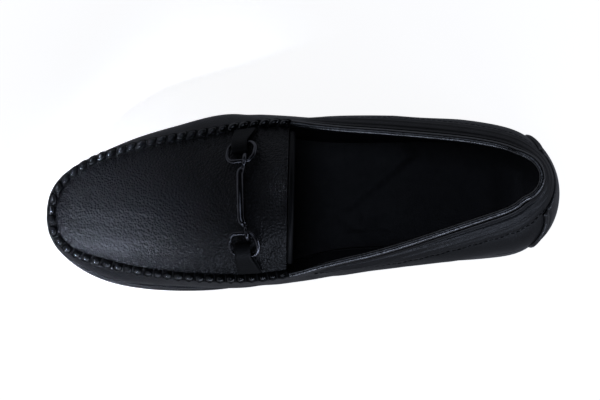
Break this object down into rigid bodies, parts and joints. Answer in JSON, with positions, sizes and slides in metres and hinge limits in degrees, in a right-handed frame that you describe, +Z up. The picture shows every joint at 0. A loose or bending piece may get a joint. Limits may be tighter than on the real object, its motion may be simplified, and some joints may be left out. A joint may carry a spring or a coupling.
{
  "type": "bit loafer",
  "caption": "Slip-on leather loafer for the right foot: moccasin-seamed plug, metal bit across the vamp, low piped collar, thin rubber cup sole with toe spring.",
  "frame": {"origin": "on the floor under the middle of the shoe's length and width", "axes": "+X from heel to toe, +Y to the medial side of the right foot, +Z up"},
  "size_m": [0.2925, 0.1006, 0.0805],
  "materials": {
    "sole_rubber": "matt charcoal with a fine speckle",
    "inlay_rubber": "matt dull red",
    "insole_lining": "matt black lining leather",
    "black_leather": "black pebbled leather, half gloss",
    "piping_leather": "smooth black rolled edge, half gloss",
    "gunmetal": "dark polished gunmetal"
  },
  "bodies": {
    "root": {"outsole": "sole_rubber", "tread_inlay": "inlay_rubber", "insole": "insole_lining", "upper": "black_leather", "topline_piping": "piping_leather", "throat_binding": "piping_leather", "back_strap": "black_leather", "keeper_tab_medial": "black_leather", "keeper_tab_lateral": "black_leather", "bit_ring_medial": "gunmetal", "bit_ring_lateral": "gunmetal", "bit_bar": "gunmetal"}
  },
  "joints": []
}
